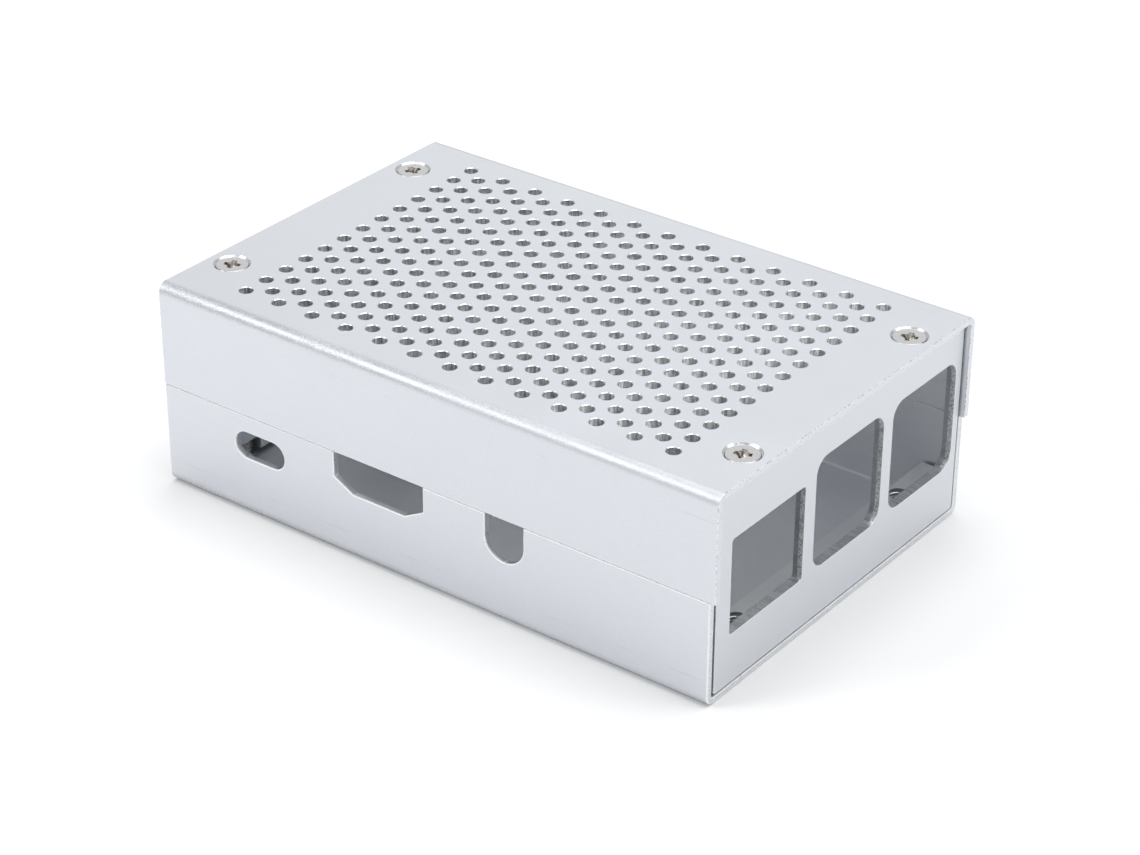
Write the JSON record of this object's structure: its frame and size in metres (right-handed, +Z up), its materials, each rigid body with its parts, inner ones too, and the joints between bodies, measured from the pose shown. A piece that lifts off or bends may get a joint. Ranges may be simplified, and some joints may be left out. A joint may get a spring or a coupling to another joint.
{
  "type": "single board computer case",
  "caption": "Silver metal case for a small single board computer, two folded sheets with a field of vent holes on top, two end frames and countersunk screws",
  "frame": {"origin": "middle of the underside of the tray, half way along and across the case", "axes": "+X along the case to the end with the port windows, +Y from the side with the power, video and audio cut-outs to the plain side, +Z up through the vented top"},
  "size_m": [0.094, 0.061, 0.0315],
  "materials": {
    "folded_sheet": "satin, bead blasted and anodised silver",
    "milled_frame": "satin, anodised silver, cut edges left bright",
    "screw_steel": "plated steel, lightly rubbed"
  },
  "bodies": {
    "root": {"cover": "folded_sheet", "tray": "folded_sheet", "port_end_frame": "milled_frame", "card_end_frame": "milled_frame", "cover_screw_card_front": "screw_steel", "cover_screw_card_back": "screw_steel", "cover_screw_port_front": "screw_steel", "cover_screw_port_back": "screw_steel", "base_screw_card_front": "screw_steel", "base_screw_card_back": "screw_steel", "base_screw_port_front": "screw_steel", "base_screw_port_back": "screw_steel"}
  },
  "joints": []
}
